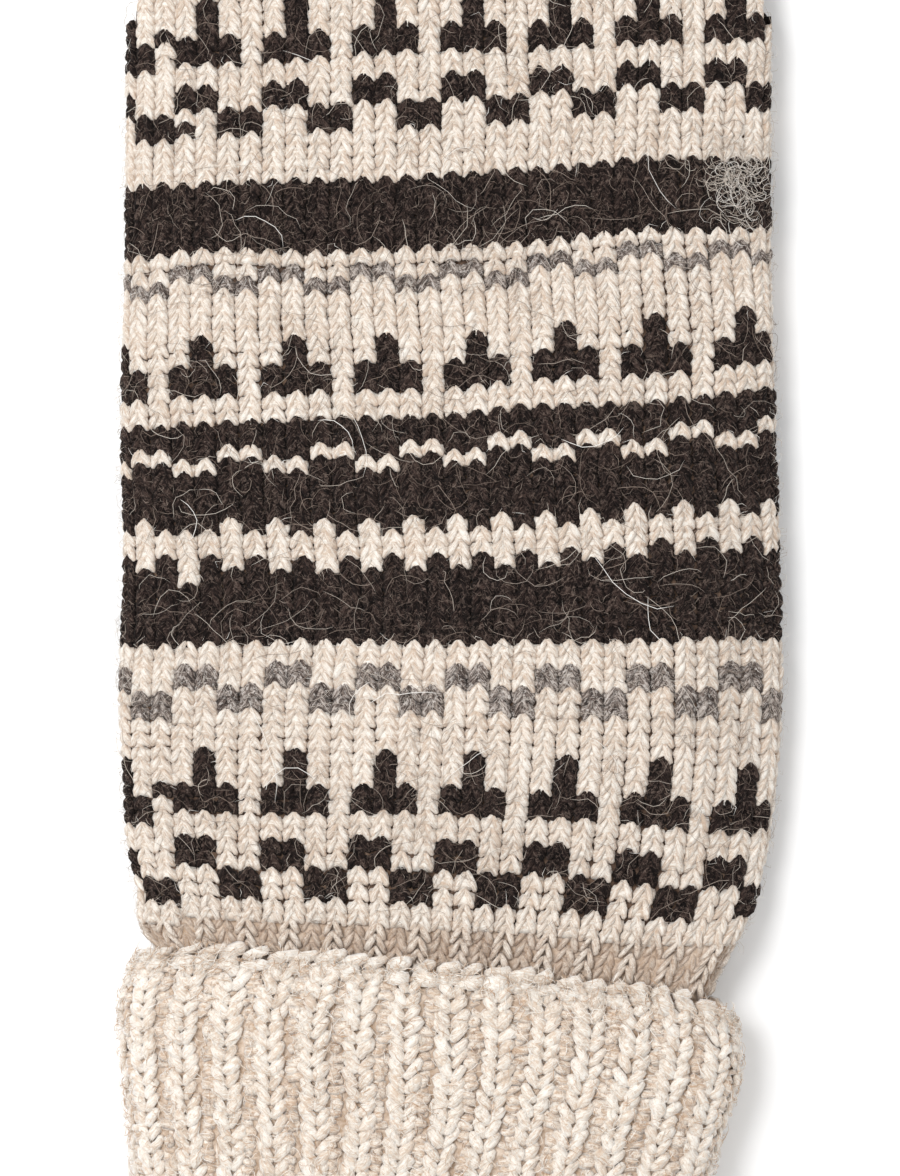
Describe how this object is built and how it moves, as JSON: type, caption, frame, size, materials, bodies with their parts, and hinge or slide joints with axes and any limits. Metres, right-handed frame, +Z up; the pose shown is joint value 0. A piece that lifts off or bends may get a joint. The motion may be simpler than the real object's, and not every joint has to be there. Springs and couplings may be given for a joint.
{
  "type": "knitted mitten",
  "caption": "Stranded-knit wool mitten with a patterned hand, a folded thumb and a turned-up ribbed cuff, lying flat, palm down.",
  "frame": {"origin": "middle of the underside of the mitten's bounding box, on the surface it lies on", "axes": "+Z up out of the back of the hand, +Y along the hand towards the finger end, +X to the thumb's side"},
  "size_m": [0.1102, 0.2492, 0.0211],
  "materials": {
    "patterned_knit": "soft matt wool, ivory with very dark brown and mottled grey patterning",
    "plain_knit": "soft matt ivory wool",
    "ribbed_knit": "fluffy matt ivory wool"
  },
  "bodies": {
    "root": {"hand": "patterned_knit", "thumb": "plain_knit", "cuff": "ribbed_knit", "cuff_edge": "ribbed_knit"}
  },
  "joints": []
}
